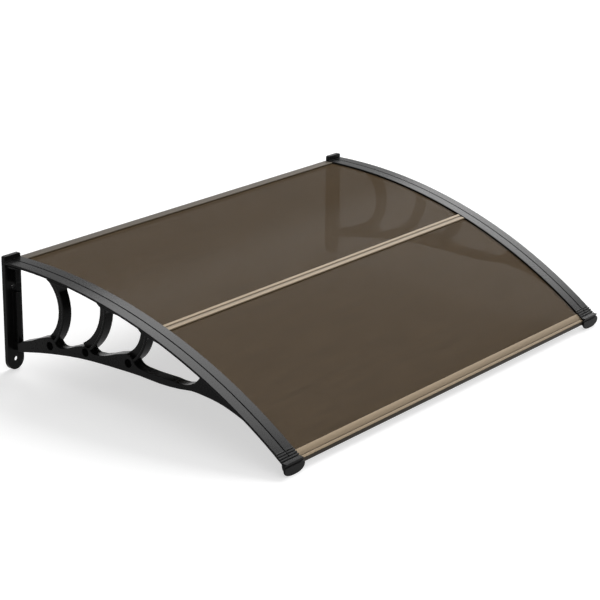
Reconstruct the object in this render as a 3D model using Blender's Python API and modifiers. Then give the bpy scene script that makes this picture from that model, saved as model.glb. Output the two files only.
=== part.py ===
"""Door canopy: two moulded brackets, two bowed twin-wall sheets, three rails and their screws.

+Z is up and +X runs along the wall, which stands behind the canopy on the +Y side. The origin
is the bottom centre of the whole canopy. Lengths are in metres. A side outline is drawn in s and
z: s is the distance out from the wall, z the height above the crest of the arch.
"""

import math

import bmesh
import bpy
from mathutils import Matrix, Vector

# Overall size: width over the arches, depth out from the wall, fall of the arch over that depth
WIDTH = 1.200
DEPTH = 0.7828
FALL = 0.2678

# Arch of a bracket: a T-topped beam with a slot for the sheet on each side of its web
CREST_S = 0.0074
ARCH_START = 0.0085
FLANGE_HALF = 0.0277
FLANGE_THICK = 0.004
FLANGE_EDGE = 0.0012
WEB_HALF = 0.004
LIP_HALF = 0.013
LIP_THICK = 0.003
TOP_GROOVE_WIDTH = 0.003
TOP_GROOVE_DEPTH = 0.0015
ARC_STEP = math.radians(1.2)

# Wall plate and leg
PLATE_HALF = 0.0238
PLATE_ABOVE = 0.011
PLATE_DROP = 0.250
PLATE_THICK = 0.010
PLATE_CORNER = 0.004
WALL_HOLE = 0.010
RELIEF_SIZE = 0.039
RELIEF_DEPTH = 0.0065
HOLE_Z = (-0.060, -0.2255)
ACCESS_HOLE = 0.022
RIB_FRONT_S = 0.0245
BEAD_FRONT_S = 0.0253
BEAD_DEPTH = 0.005
BEAD_HALF = 0.006
BEAD_TOP_Z = -0.019
ROOT_HALF = 0.007

# Lower strut: its outline is in shares of the depth and real heights
BODY_HALF = 0.0134
BODY_ROUND = 0.0015
STRUT_TOP = (
    (0.0374, -0.1832), (0.0537, -0.1774), (0.0930, -0.1670), (0.1526, -0.1488), (0.1716, -0.1495),
    (0.1785, -0.1525), (0.1862, -0.1597), (0.1965, -0.1650), (0.2194, -0.1635), (0.2587, -0.1513),
    (0.2919, -0.1458), (0.3085, -0.1482), (0.3168, -0.1535), (0.3285, -0.1570), (0.3749, -0.1509),
    (0.4414, -0.1348), (0.4563, -0.1366), (0.4665, -0.1425), (0.4745, -0.1507), (0.4860, -0.1570),
    (0.5109, -0.1602), (0.5509, -0.1624), (0.6040, -0.1631),
)
STRUT_BOTTOM = (
    (0.0374, -0.2022), (0.0602, -0.1995), (0.1216, -0.1904), (0.1989, -0.1815), (0.2742, -0.1755),
    (0.3483, -0.1735), (0.4215, -0.1736), (0.4925, -0.1746), (0.5636, -0.1786), (0.6317, -0.1775),
)
TIP_SHARE = 0.710
TIP_BEND = ((0.6460, 0.0484), (0.6844, 0.0232))
TAIL_HANG = (
    (0.6719, 0.0484), (0.7099, 0.0363), (0.7608, 0.0217), (0.8007, 0.0131), (0.8425, 0.0061),
)
TAIL_SHARE = 0.885
TAIL_BLUNT = 0.002

# Crescents: share of the depth and height of the centre, inner and outer radius, height of the root
CRESCENTS = (
    (0.0859, -0.0869, 0.0804, 0.1030, -0.1641),
    (0.2198, -0.0567, 0.0965, 0.1195, -0.1608),
    (0.4066, -0.0763, 0.0640, 0.0880, -0.1531),
)
CRESCENT_HALF = 0.0127
CRESCENT_FACE = 0.006
CRESCENT_ROUND = 0.001
CRESCENT_STEPS = 12
FILLET_HALF = 0.0122
FRONT_FILLET = 0.015
REAR_FILLET = 0.006
POCKETS = ((0.1632, -0.1670), (0.2966, -0.1578), (0.4524, -0.1540))
POCKET_SIZE = 0.019
POCKET_FLOOR = 0.0044
PAD_HALF = 0.019
PAD_THICK = 0.0042
PAD_BACK = 0.016
PAD_FRONT = 0.045
PAD_BACK_TAPER = 0.008
PAD_FRONT_TAPER = 0.030
LEG_PAD_END = 0.0547

# Rounded nose at the front end of a bracket: a half-round plate, a wider cap and a flat lip
NOSE_HALF = 0.028
NOSE_PLATE_HALF = 0.0275
NOSE_PLATE_DROP = 0.0272
NOSE_BACK = 0.0134
NOSE_ROUND = 0.0015
NOSE_LIP = 0.008
NOSE_LIP_THICK = 0.003
LIP_SET_BACK = 0.0005
LIP_GROOVE = 0.0055
LIP_GROOVE_DEPTH = 0.0028
CAP_HALF = 0.0330
CAP_THICK = 0.0043
CAP_CORNER = 0.010
CAP_DROP = 0.0288
CAP_ROUND = 0.0018
BOWL_POWER = 0.85
GRIP_RISE = 0.0003
GRIP_START = 0.027
GRIP_PITCH = 0.0060
GRIP_COUNT = 4
GRIP_WIDTH = 0.0022
GRIP_DEPTH = 0.0020
GUSSET_LENGTH = 0.045

# Twin-wall sheets and the gap on each side of one in its slot
SHEET_THICK = 0.005
SLOT_GAP = 0.00025
SHEET_SKIN = 0.0005
SHEET_RIB = 0.0005
FLUTE_PITCH = 0.0062
SHEET_SIDE_GAP = 0.0007
SHEET_EDGE_GAP = 0.0004

# Aluminium rails: stations are distances from the wall to the middle of a rail's core
REAR_RAIL_S = 0.0179
MIDDLE_RAIL_S = 0.4226
FRONT_RAIL_BACK = 0.0140
RAIL_WALL = 0.0014
RAIL_CORE = 0.006
RAIL_END_GAP = 0.0004
CORE_GAP = 0.0003
LIP_GAP = 0.00025
RIDGE_RISE = 0.0014
REAR_RAIL_BACK = 0.0174
REAR_RAIL_SKIRT = 0.0115
REAR_RAIL_LIP = 0.0070
RAIL_FOOT = 0.0120
MIDDLE_RAIL_HALF = 0.0107
MIDDLE_RAIL_FOOT = 0.0090
MIDDLE_GROOVE_HALF = 0.0026
FRONT_RAIL_LIP = 0.0096
FRONT_RAIL_GROOVE = 0.0060
FRONT_RAIL_FACE = 0.0082
FACE_GAP = 0.0004

# Self-tapping screws through the web into the rails
SCREW_SHANK = 0.0027
SCREW_HEAD_THICK = 0.0018
SCREW_LENGTH = 0.020
HOLE_GAP = 0.0003
PORT_GAP = 0.00035
HEAD_GAP = 0.00035
SCREW_SEAT_GAP = 0.0003
SCREW_STEPS = 12

# Worked out from the sizes above
ARCH_RADIUS = ((DEPTH - CREST_S) ** 2 + FALL ** 2) / (2 * FALL)
SLOT_HEIGHT = SHEET_THICK + 2 * SLOT_GAP
SLOT_FLOOR = FLANGE_THICK + SLOT_HEIGHT
ARCH_THICK = SLOT_FLOOR + LIP_THICK
SEAM_X = WIDTH / 2 - NOSE_HALF
SHEET_TOP = FLANGE_THICK + SLOT_GAP
SHEET_UNDER = SHEET_TOP + SHEET_THICK
CORE_MIDDLE = FLANGE_THICK + SLOT_HEIGHT / 2
FRONT_RAIL_S = DEPTH - FRONT_RAIL_BACK
RAIL_TOP = SHEET_TOP - LIP_GAP - RAIL_WALL
RAIL_LIP_UNDER = SHEET_TOP - LIP_GAP
RAIL_FOOT_TOP = SHEET_UNDER + LIP_GAP
SCREW_HOLE = SCREW_SHANK + 2 * HOLE_GAP
PORT_SIZE = SCREW_SHANK + 2 * PORT_GAP
SCREW_HEAD = SLOT_HEIGHT - 2 * HEAD_GAP
OVERLAP = 0.0015
SINK = 0.0003
MERGE = 1e-6
FLAT = math.radians(0.02)

# A side outline stands in the YZ plane, a face outline in the XZ plane
SIDE = Matrix(((0, 0, -1), (-1, 0, 0), (0, 1, 0))).to_4x4()
FACE = Matrix(((1, 0, 0), (0, 0, -1), (0, 1, 0))).to_4x4()
SIDEWAYS = Matrix.Rotation(math.pi / 2, 4, "Y")


def arch_point(depth, angle):
    """Point at a depth below the top of the arch, at an angle from its crest."""
    radius = ARCH_RADIUS - depth
    return CREST_S + radius * math.sin(angle), radius * math.cos(angle) - ARCH_RADIUS


def angle_at(s, depth=0.0):
    """Angle from the crest at which the arch, at a depth, is s from the wall."""
    return math.asin((s - CREST_S) / (ARCH_RADIUS - depth))


def arc_angles(first, last):
    """The two angles and every step of the shared grid between them."""
    start = math.floor(first / ARC_STEP + 0.1) + 1
    stop = math.ceil(last / ARC_STEP - 0.1)
    return [first] + [step * ARC_STEP for step in range(start, stop)] + [last]


def arch_line(depth, first, last):
    """Points along the arch at a depth, from one angle to another."""
    return [arch_point(depth, angle) for angle in arc_angles(first, last)]


def arch_band(top, bottom, first, last):
    """Outline of the arch between two depths and two angles."""
    return arch_line(top, first, last) + arch_line(bottom, first, last)[::-1]


def on_arch(station, points):
    """Points given forward along the arch and down into it, placed at a distance from the wall."""
    angle = angle_at(station)
    s, z = arch_point(0.0, angle)
    forward = Vector((math.cos(angle), -math.sin(angle)))
    down = Vector((-math.sin(angle), -math.cos(angle)))
    return [tuple(Vector((s, z)) + along * forward + depth * down) for along, depth in points]


def circle_points(center, radius, first, last, count):
    """Points along an arc of a circle, from one angle to another."""
    angles = [first + (last - first) * step / count for step in range(count + 1)]
    return [(center[0] + radius * math.cos(a), center[1] + radius * math.sin(a)) for a in angles]


def circles_meet(center, radius, depth):
    """Where a circle crosses the arch at a depth, on the side away from the wall."""
    arch_center = Vector((CREST_S, -ARCH_RADIUS))
    arch_radius = ARCH_RADIUS - depth
    link = Vector(center) - arch_center
    along = (link.length_squared + arch_radius ** 2 - radius ** 2) / (2 * link.length)
    across = math.sqrt(arch_radius ** 2 - along ** 2)
    unit = link.normalized()
    return arch_center + along * unit + across * Vector((unit.y, -unit.x))


def angle_from(center, point):
    """Direction from a centre to a point, from the forward axis."""
    return math.atan2(point[1] - center[1], point[0] - center[0])


def new_collection(name):
    """A collection linked to the scene."""
    collection = bpy.data.collections.new(name)
    bpy.context.scene.collection.children.link(collection)
    return collection


def new_material(name, color, roughness, metallic, alpha=1.0):
    """A Principled material."""
    material = bpy.data.materials.new(name)
    material.use_nodes = True
    shader = material.node_tree.nodes["Principled BSDF"]
    shader.inputs["Base Color"].default_value = (*color, 1.0)
    shader.inputs["Roughness"].default_value = roughness
    shader.inputs["Metallic"].default_value = metallic
    shader.inputs["Alpha"].default_value = alpha
    return material


def frozen_mesh(source, name):
    """The evaluated mesh of an object, with its doubles merged and its faces pointing out."""
    graph = bpy.context.evaluated_depsgraph_get()
    mesh = bpy.data.meshes.new_from_object(source.evaluated_get(graph))
    mesh.name = name
    work = bmesh.new()
    work.from_mesh(mesh)
    bmesh.ops.remove_doubles(work, verts=work.verts, dist=MERGE)
    bmesh.ops.holes_fill(work, edges=[edge for edge in work.edges if edge.is_boundary], sides=4)
    bmesh.ops.dissolve_limit(work, angle_limit=FLAT, verts=work.verts, edges=work.edges)
    bmesh.ops.recalc_face_normals(work, faces=work.faces)
    work.to_mesh(mesh)
    work.free()
    return mesh


def place_mesh(collection, name, mesh, matrix):
    """An object that holds a mesh, linked to a collection."""
    solid = bpy.data.objects.new(name, mesh)
    solid.matrix_world = matrix
    collection.objects.link(solid)
    return solid


def flat_solid(collection, name, loops, thickness, plane=SIDE, offset=0.0, rounding=0.0, smooth=False,
               steps=0):
    """A flat outline with its holes, thickened about its plane, as a mesh object.

    offset moves the middle of the thickness along the plane's own normal axis: +X for a side
    outline, away from the wall for a face outline. rounding rounds the rim of both faces.
    """
    curve = bpy.data.curves.new(name, "CURVE")
    curve.dimensions = "2D"
    curve.fill_mode = "BOTH"
    curve.extrude = thickness / 2 - rounding
    curve.bevel_depth = rounding
    curve.bevel_resolution = steps
    curve.offset = -rounding
    curve.resolution_u = 2
    for loop in loops:
        if smooth:
            add_smooth_spline(curve, loop)
        else:
            add_straight_spline(curve, loop)
    outline = bpy.data.objects.new(name + "_outline", curve)
    collection.objects.link(outline)
    mesh = frozen_mesh(outline, name)
    bpy.data.objects.remove(outline)
    shift = Vector((offset, 0, 0)) if plane is SIDE else Vector((0, -offset, 0))
    return place_mesh(collection, name, mesh, Matrix.Translation(shift) @ plane)


def add_straight_spline(curve, points):
    """A closed spline of straight runs."""
    spline = curve.splines.new("POLY")
    spline.points.add(len(points) - 1)
    for knot, (x, y) in zip(spline.points, points):
        knot.co = (x, y, 0, 1)
    spline.use_cyclic_u = True


def add_smooth_spline(curve, points):
    """A closed smooth spline; a point with a third value is a sharp corner."""
    spline = curve.splines.new("BEZIER")
    spline.bezier_points.add(len(points) - 1)
    for knot, point in zip(spline.bezier_points, points):
        knot.co = (point[0], point[1], 0)
        kind = "VECTOR" if len(point) > 2 else "AUTO"
        knot.handle_left_type = kind
        knot.handle_right_type = kind
    spline.use_cyclic_u = True


def cylinder(collection, name, size, length, matrix, sides=24):
    """A cylinder about the Z axis of a matrix, centred on it."""
    work = bmesh.new()
    bmesh.ops.create_cone(work, cap_ends=True, segments=sides, radius1=size / 2, radius2=size / 2,
                          depth=length)
    mesh = bpy.data.meshes.new(name)
    work.to_mesh(mesh)
    work.free()
    return place_mesh(collection, name, mesh, matrix)


def box(collection, name, low, high):
    """A box between two corners."""
    work = bmesh.new()
    bmesh.ops.create_cube(work, size=1.0)
    low, high = Vector(low), Vector(high)
    bmesh.ops.scale(work, vec=high - low, verts=work.verts)
    bmesh.ops.translate(work, vec=(low + high) / 2, verts=work.verts)
    mesh = bpy.data.meshes.new(name)
    work.to_mesh(mesh)
    work.free()
    return place_mesh(collection, name, mesh, Matrix())


def combine(base, added, removed):
    """Join one collection of solids to a base and cut another away."""
    for collection, operation in ((added, "UNION"), (removed, "DIFFERENCE")):
        if not collection.objects:
            continue
        for solid in collection.objects:
            solid.hide_render = True
            solid.display_type = "WIRE"
        step = base.modifiers.new(operation.lower(), "BOOLEAN")
        step.operation = operation
        step.solver = "EXACT"
        step.operand_type = "COLLECTION"
        step.collection = collection


def shade(solid, angle=30.0):
    """Smooth shading with sharp edges kept."""
    solid.data.shade_smooth()
    solid.data.set_sharp_from_angle(angle=math.radians(angle))


def arch_solid(collection):
    """The arch's T-topped beam: its section spun about the centre of the arch."""
    groove = TOP_GROOVE_WIDTH / 2
    right = [
        (groove, TOP_GROOVE_DEPTH), (groove, 0.0), (FLANGE_HALF - FLANGE_EDGE, 0.0),
        (FLANGE_HALF, FLANGE_EDGE), (FLANGE_HALF, FLANGE_THICK), (WEB_HALF, FLANGE_THICK),
        (WEB_HALF, SLOT_FLOOR), (LIP_HALF, SLOT_FLOOR), (LIP_HALF, ARCH_THICK),
    ]
    section = right + [(-x, depth) for x, depth in reversed(right)]
    first, last = angle_at(ARCH_START), angle_at(DEPTH - NOSE_LIP)
    work = bmesh.new()
    placed = [(x, *arch_point(depth, first)) for x, depth in section]
    verts = [work.verts.new((x, -s, z)) for x, s, z in placed]
    ring = [work.edges.new((verts[step - 1], verts[step])) for step in range(len(verts))]
    center = (0.0, -CREST_S, -ARCH_RADIUS)
    steps = math.ceil((last - first) / ARC_STEP)
    bmesh.ops.spin(work, geom=verts + ring, cent=center, axis=(1, 0, 0), angle=last - first,
                   steps=steps)
    bmesh.ops.holes_fill(work, edges=work.edges)
    bmesh.ops.recalc_face_normals(work, faces=work.faces)
    mesh = bpy.data.meshes.new("arch")
    work.to_mesh(mesh)
    work.free()
    return place_mesh(collection, "arch", mesh, Matrix())


def add_pads(added):
    """Broad pads under the arch where the leg and the crescents meet it."""
    spans = [(PLATE_THICK - OVERLAP, 0.0, LEG_PAD_END)]
    for share, z, _, outer, _ in CRESCENTS:
        root = circles_meet((share * DEPTH, z), outer, ARCH_THICK).x
        spans.append((root - PAD_BACK, PAD_BACK_TAPER, root + PAD_FRONT))
    top = SLOT_FLOOR + 2 * SINK
    for number, (start, taper, end) in enumerate(spans):
        pad = arch_line(top, angle_at(start), angle_at(end))
        pad += arch_line(top + PAD_THICK, angle_at(start + taper), angle_at(end - PAD_FRONT_TAPER))[::-1]
        flat_solid(added, f"pad_{number}", [pad], 2 * PAD_HALF)


def add_leg(added):
    """Wall plate with its round foot, the rib on it and the rib's bead."""
    corner_z = PLATE_ABOVE - PLATE_CORNER
    left_corner = (PLATE_CORNER - PLATE_HALF, corner_z)
    right_corner = (PLATE_HALF - PLATE_CORNER, corner_z)
    plate = circle_points(right_corner, PLATE_CORNER, 0.0, math.pi / 2, 3)
    plate += circle_points(left_corner, PLATE_CORNER, math.pi / 2, math.pi, 3)
    plate += circle_points((0.0, PLATE_HALF - PLATE_DROP), PLATE_HALF, math.pi, 2 * math.pi, 20)
    flat_solid(added, "wall_plate", [plate], PLATE_THICK, FACE, PLATE_THICK / 2)
    top = arch_point(ARCH_THICK - 2 * SINK, angle_at(RIB_FRONT_S))[1]
    bottom = (STRUT_TOP[0][1] + STRUT_BOTTOM[0][1]) / 2
    start = PLATE_THICK - OVERLAP
    rib = [(start, top), (RIB_FRONT_S, top), (RIB_FRONT_S, bottom), (start, bottom)]
    flat_solid(added, "leg_rib", [rib], 2 * WEB_HALF)
    bead_s = BEAD_FRONT_S - BEAD_DEPTH / 2
    bead = circle_points((bead_s, BEAD_TOP_Z), BEAD_DEPTH / 2, 0.0, math.pi, 8)
    bead += [(BEAD_FRONT_S - BEAD_DEPTH, bottom + OVERLAP), (BEAD_FRONT_S, bottom + OVERLAP)]
    flat_solid(added, "leg_bead", [bead], 2 * BEAD_HALF, rounding=BODY_ROUND / 2)


def add_strut(added):
    """Lower strut from the leg to where it runs into the arch, and its narrow root."""
    within = ARCH_THICK - 4 * SINK
    tip, tail = angle_at(TIP_SHARE * DEPTH), angle_at(TAIL_SHARE * DEPTH)
    hung = []
    for share, hang in TIP_BEND + TAIL_HANG:
        s, z = arch_point(ARCH_THICK, angle_at(share * DEPTH, ARCH_THICK))
        hung.append((s, z - hang))
    bend, under = hung[:len(TIP_BEND)], hung[len(TIP_BEND):]
    outline = [(share * DEPTH, z) for share, z in STRUT_TOP] + bend
    outline += [(*arch_point(within, angle), "corner") for angle in arc_angles(tip, tail)]
    outline += [(*arch_point(ARCH_THICK + TAIL_BLUNT, tail), "corner")]
    outline += reversed(under)
    outline += [(share * DEPTH, z) for share, z in reversed(STRUT_BOTTOM)]
    outline[0] = (*outline[0], "corner")
    outline[-1] = (*outline[-1], "corner")
    flat_solid(added, "strut", [outline], 2 * BODY_HALF, rounding=BODY_ROUND, smooth=True, steps=1)
    (top_s, top_z), (_, bottom_z) = outline[0][:2], outline[-1][:2]
    root = [(PLATE_THICK - OVERLAP, top_z - OVERLAP), (top_s + 2 * OVERLAP, top_z - OVERLAP),
            (top_s + 2 * OVERLAP, bottom_z + OVERLAP), (PLATE_THICK - OVERLAP, bottom_z - OVERLAP)]
    flat_solid(added, "strut_root", [root], 2 * ROOT_HALF)


def crescent_outline(center, inner, outer, root_z, within):
    """A band between two circles, from its root in the strut up to a depth within the arch."""
    rear_top = circles_meet(center, inner, within)
    front_top = circles_meet(center, outer, within)
    root = math.asin((root_z - center[1]) / outer)
    rear = circle_points(center, inner, root, angle_from(center, rear_top), CRESCENT_STEPS)
    front = circle_points(center, outer, angle_from(center, front_top), root, CRESCENT_STEPS)
    between = arc_angles(angle_at(rear_top.x, within), angle_at(front_top.x, within))[1:-1]
    return rear + [arch_point(within, angle) for angle in between] + front


def corner_fillet(center, radius, size, outside):
    """The filled corner between a circle and the underside of the arch."""
    set_in = size - SINK
    reach = radius + set_in if outside else radius - set_in
    middle = circles_meet(center, reach, ARCH_THICK + set_in)
    sink = -OVERLAP if outside else OVERLAP
    corner = circles_meet(center, radius + sink, ARCH_THICK - 3 * SINK)
    towards = middle - Vector(center) if not outside else Vector(center) - middle
    arch_center = Vector((CREST_S, -ARCH_RADIUS))
    start = math.atan2(towards.y, towards.x)
    end = angle_from(arch_center, middle)
    if start < end - math.pi:
        start += 2 * math.pi
    return circle_points(middle, size, start, end, 6) + [tuple(corner)]


def add_crescents(added):
    """T-section crescents: a broad front face and a thin web behind it."""
    for number, (share, z, inner, outer, root_z) in enumerate(CRESCENTS):
        center = (share * DEPTH, z)
        depth = SLOT_FLOOR + 5 * SINK
        face = crescent_outline(center, outer - CRESCENT_FACE, outer, root_z, depth)
        flat_solid(added, f"crescent_face_{number}", [face], 2 * CRESCENT_HALF,
                   rounding=CRESCENT_ROUND)
        depth = SLOT_FLOOR + 3 * SINK
        web = crescent_outline(center, inner, outer - CRESCENT_FACE / 2, root_z + OVERLAP, depth)
        flat_solid(added, f"crescent_web_{number}", [web], 2 * WEB_HALF)
        front = corner_fillet(center, outer, FRONT_FILLET, True)
        flat_solid(added, f"front_fillet_{number}", [front], 2 * FILLET_HALF)
        rear = corner_fillet(center, inner, REAR_FILLET, False)
        flat_solid(added, f"rear_fillet_{number}", [rear], 2 * (WEB_HALF - SINK))


def nose_top():
    """Height of the flat lip at the front end of a bracket."""
    return arch_point(-GRIP_RISE, angle_at(DEPTH - NOSE_LIP))[1]


def bowl(half, middle_z, bottom_z):
    """Lower half of a full oval, from its left end round to its right end."""
    unit = circle_points((0.0, 0.0), 1.0, math.pi, 2 * math.pi, 24)
    return [
        (half * math.copysign(abs(x) ** BOWL_POWER, x),
         middle_z - (middle_z - bottom_z) * abs(z) ** BOWL_POWER)
        for x, z in unit
    ]


def cap_outline(top_z):
    """Outline of the nose cap: flat on top, round at its corners, a full oval below."""
    side = CAP_HALF - CAP_CORNER
    middle_z = top_z - NOSE_LIP_THICK - CAP_CORNER
    outline = circle_points((side, middle_z), CAP_CORNER, 0.0, math.pi / 2, 5)
    outline += circle_points((-side, middle_z), CAP_CORNER, math.pi / 2, math.pi, 5)
    return outline + bowl(CAP_HALF, middle_z, top_z - CAP_DROP)[1:-1]


def add_nose(added):
    """Half-round end plate and its cap, the flat lip, the gusset behind and the grip band."""
    grip = arch_band(-GRIP_RISE, FLANGE_THICK - SINK, angle_at(DEPTH - GRIP_START),
                     angle_at(DEPTH - NOSE_LIP + OVERLAP))
    flat_solid(added, "grip_band", [grip], 2 * NOSE_HALF)
    top_z = nose_top()
    plate = bowl(NOSE_PLATE_HALF, top_z - NOSE_LIP_THICK / 2, top_z - NOSE_PLATE_DROP)
    plate_thick = NOSE_BACK - CAP_THICK / 2
    plate_s = DEPTH - NOSE_BACK + plate_thick / 2
    flat_solid(added, "nose_plate", [plate], plate_thick, FACE, plate_s, rounding=NOSE_ROUND)
    flat_solid(added, "nose_cap", [cap_outline(top_z)], CAP_THICK, FACE, DEPTH - CAP_THICK / 2,
               rounding=CAP_ROUND, steps=1)
    low = (SINK - NOSE_HALF, LIP_SET_BACK - DEPTH, top_z - NOSE_LIP_THICK)
    high = (NOSE_HALF - SINK, NOSE_LIP + OVERLAP - DEPTH, top_z)
    box(added, "nose_lip", low, high)
    start = arch_point(ARCH_THICK - OVERLAP, angle_at(DEPTH - GUSSET_LENGTH))
    end = arch_point(ARCH_THICK - OVERLAP, angle_at(DEPTH - NOSE_LIP))
    foot = (plate_s, top_z - NOSE_PLATE_DROP + 2 * NOSE_ROUND)
    flat_solid(added, "nose_gusset", [[start, end, (plate_s, end[1]), foot]], 2 * WEB_HALF)


def cut_surface(removed):
    """Grip grooves across the end of the arch and the groove under the lip."""
    for step in range(GRIP_COUNT):
        start = angle_at(DEPTH - GRIP_START) + (OVERLAP + step * GRIP_PITCH) / ARCH_RADIUS
        cut = arch_band(-OVERLAP, GRIP_DEPTH, start, start + GRIP_WIDTH / ARCH_RADIUS)
        flat_solid(removed, f"grip_{step}", [cut], 2 * (NOSE_HALF + OVERLAP))
    first = angle_at(DEPTH - GRIP_START) - OVERLAP / ARCH_RADIUS
    last = first + 2 * (OVERLAP + GRIP_PITCH) / ARCH_RADIUS
    seam = arch_band(-OVERLAP, TOP_GROOVE_DEPTH - SINK, first, last)
    flat_solid(removed, "grip_seam", [seam], TOP_GROOVE_WIDTH - SINK)
    under_z = nose_top() - NOSE_LIP_THICK + SINK
    low = (-2 * NOSE_HALF, -DEPTH - OVERLAP, under_z - LIP_GROOVE)
    high = (2 * NOSE_HALF, LIP_GROOVE_DEPTH - DEPTH, under_z)
    box(removed, "lip_groove", low, high)


def cut_holes(removed):
    """Wall bolt holes, the hollow behind the lower one, room for the upper bolt, and the rest.

    The rest are the pockets at the roots of the crescents and the screw holes in the web.
    """
    turned = Matrix.Rotation(math.pi / 2, 4, "X")
    for number, z in enumerate(HOLE_Z):
        spot = Matrix.Translation((0.0, -PLATE_THICK / 2, z))
        cylinder(removed, f"wall_hole_{number}", WALL_HOLE, 2 * PLATE_THICK, spot @ turned)
    spot = Matrix.Translation((0.0, 0.0, HOLE_Z[1]))
    cylinder(removed, "plate_relief", RELIEF_SIZE, 2 * RELIEF_DEPTH, spot @ turned, 32)
    access = 2 * BEAD_FRONT_S
    spot = Matrix.Translation((0.0, SINK - PLATE_THICK - access / 2, HOLE_Z[0]))
    cylinder(removed, "bolt_access", ACCESS_HOLE, access, spot @ turned)
    depth = BODY_HALF - POCKET_FLOOR
    for number, (share, z) in enumerate(POCKETS):
        for side in (-1, 1):
            length = depth + OVERLAP
            middle = side * (POCKET_FLOOR + length / 2)
            spot = Matrix.Translation((middle, -share * DEPTH, z))
            cylinder(removed, f"pocket_{number}_{side}", POCKET_SIZE, length, spot @ SIDEWAYS)
    for number, station in enumerate((REAR_RAIL_S, MIDDLE_RAIL_S, FRONT_RAIL_S)):
        (s, z), = on_arch(station, [(0.0, CORE_MIDDLE)])
        spot = Matrix.Translation((0.0, -s, z))
        cylinder(removed, f"screw_hole_{number}", SCREW_HOLE, 4 * WEB_HALF, spot @ SIDEWAYS, 16)


def bracket_mesh():
    """The moulded bracket about its own middle plane, its arch meeting the wall at the origin."""
    added, removed = new_collection("bracket_forms"), new_collection("bracket_cutters")
    holder = new_collection("bracket_work")
    base = arch_solid(holder)
    add_pads(added)
    add_leg(added)
    add_strut(added)
    add_crescents(added)
    add_nose(added)
    cut_surface(removed)
    cut_holes(removed)
    combine(base, added, removed)
    mesh = frozen_mesh(base, "bracket")
    mesh.transform(base.matrix_world)
    clear_work(holder)
    return mesh


def clear_work(collection):
    """Remove working solids and their collection."""
    for solid in list(collection.objects):
        bpy.data.objects.remove(solid)
    bpy.data.collections.remove(collection)


def sheet_loops(first, last):
    """Section of a twin-wall sheet between two angles: its outline and the flutes in it."""
    count = round((last - first) * ARCH_RADIUS / FLUTE_PITCH)
    step = (last - first) / count
    half_rib = SHEET_RIB / 2 / ARCH_RADIUS
    loops = [arch_band(SHEET_TOP, SHEET_UNDER, first, last)]
    for number in range(count):
        start = first + number * step + half_rib * (2 if number == 0 else 1)
        end = first + (number + 1) * step - half_rib * (2 if number == count - 1 else 1)
        top, under = SHEET_TOP + SHEET_SKIN, SHEET_UNDER - SHEET_SKIN
        flute = [arch_point(top, start), arch_point(top, end)]
        flute += [arch_point(under, end), arch_point(under, start)]
        loops.append(flute)
    return loops


def make_sheets(parts, frame, material):
    """The rear and the front sheet, each held between two rails and two slots."""
    clear = (RAIL_CORE / 2 + SHEET_EDGE_GAP) / ARCH_RADIUS
    stations = [angle_at(s) for s in (REAR_RAIL_S, MIDDLE_RAIL_S, FRONT_RAIL_S)]
    length = 2 * (SEAM_X - WEB_HALF - SHEET_SIDE_GAP)
    spans = zip(("rear_panel", "front_panel"), stations[:2], stations[1:])
    for name, behind, ahead in spans:
        sheet = flat_solid(parts, name, sheet_loops(behind + clear, ahead - clear), length)
        finish_part(sheet, frame, material)


def rear_rail_section():
    """Rear rail: a lip over the sheet, a foot under it and a skirt down the wall.

    Every rail's outline runs in points forward along the arch and down into it.
    """
    top = RAIL_TOP - RIDGE_RISE
    core, back = RAIL_CORE / 2, REAR_RAIL_BACK
    return [
        (-back, top), (REAR_RAIL_LIP - RIDGE_RISE, top), (REAR_RAIL_LIP, RAIL_TOP),
        (REAR_RAIL_LIP, RAIL_LIP_UNDER), (core, RAIL_LIP_UNDER), (core, RAIL_FOOT_TOP),
        (RAIL_FOOT, RAIL_FOOT_TOP), (RAIL_FOOT, RAIL_FOOT_TOP + RAIL_WALL),
        (-core, RAIL_FOOT_TOP + RAIL_WALL), (-core, RAIL_LIP_UNDER),
        (RAIL_WALL - back, RAIL_LIP_UNDER), (RAIL_WALL - back, top + REAR_RAIL_SKIRT),
        (-back, top + REAR_RAIL_SKIRT),
    ]


def middle_rail_section():
    """Middle rail: an H with two raised ridges on its top lip."""
    half, ridge, core = MIDDLE_RAIL_HALF, RIDGE_RISE, RAIL_CORE / 2
    front = [
        (MIDDLE_GROOVE_HALF, RAIL_TOP), (MIDDLE_GROOVE_HALF, RAIL_TOP - ridge),
        (half - ridge, RAIL_TOP - ridge), (half, RAIL_TOP), (half, RAIL_LIP_UNDER),
        (core, RAIL_LIP_UNDER), (core, RAIL_FOOT_TOP), (MIDDLE_RAIL_FOOT, RAIL_FOOT_TOP),
        (MIDDLE_RAIL_FOOT, RAIL_FOOT_TOP + RAIL_WALL),
    ]
    return front + [(-along, depth) for along, depth in reversed(front)]


def front_face(below):
    """Point of the front rail's upright face, at a distance below its top edge.

    The face stands just behind the caps of the noses, whatever their thickness.
    """
    angle = angle_at(FRONT_RAIL_S)
    nose = FRONT_RAIL_BACK - CAP_THICK - FACE_GAP + RAIL_TOP * math.sin(angle)
    return nose / math.cos(angle) + below * math.sin(angle), RAIL_TOP + below * math.cos(angle)


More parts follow.
